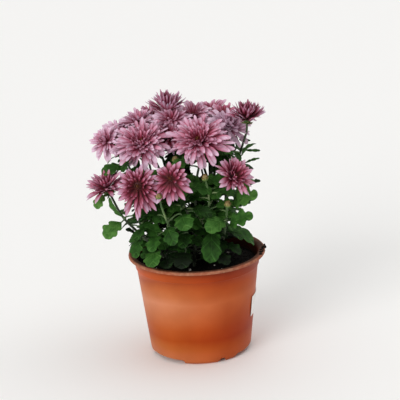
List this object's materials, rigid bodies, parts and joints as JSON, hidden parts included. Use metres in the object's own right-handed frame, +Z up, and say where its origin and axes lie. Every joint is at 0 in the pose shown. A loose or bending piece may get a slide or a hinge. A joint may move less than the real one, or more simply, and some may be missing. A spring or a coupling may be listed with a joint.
{
  "type": "pot chrysanthemum",
  "caption": "Pot chrysanthemum in bloom: layered pink blooms, buds and lobed leaves on branching stems, in a tapered plastic grower's pot of potting mix.",
  "frame": {"origin": "centre of the flat pad under the pot, where it stands on a surface", "axes": "+Z up along the pot's axis, -Y towards the front of the plant, +X to the right"},
  "size_m": [0.1647, 0.1587, 0.2519],
  "materials": {
    "pot_plastic": "thin moulded polypropylene, terracotta colour, satin",
    "potting_mix": "damp dark peat mix with white perlite",
    "label_paper": "blank matt white paper",
    "foliage": "dull green leaves and hairy green stems",
    "petals": "satin petals, mauve pink with burgundy bases"
  },
  "bodies": {
    "root": {"pot": "pot_plastic", "soil": "potting_mix", "label": "label_paper", "leafy_stem_1": "foliage", "leafy_stem_2": "foliage", "leafy_stem_3": "foliage", "leafy_stem_4": "foliage", "leafy_stem_5": "foliage", "leafy_stem_6": "foliage", "bloom_01": "petals", "bloom_02": "petals", "bloom_03": "petals", "bloom_04": "petals", "bloom_05": "petals", "bloom_06": "petals", "bloom_07": "petals", "bloom_08": "petals", "bloom_09": "petals", "bloom_10": "petals", "bloom_11": "petals", "bloom_12": "petals", "bloom_13": "petals", "bloom_14": "petals", "bloom_15": "petals", "bloom_16": "petals", "bloom_17": "petals", "bloom_18": "petals", "bloom_19": "petals"}
  },
  "joints": []
}
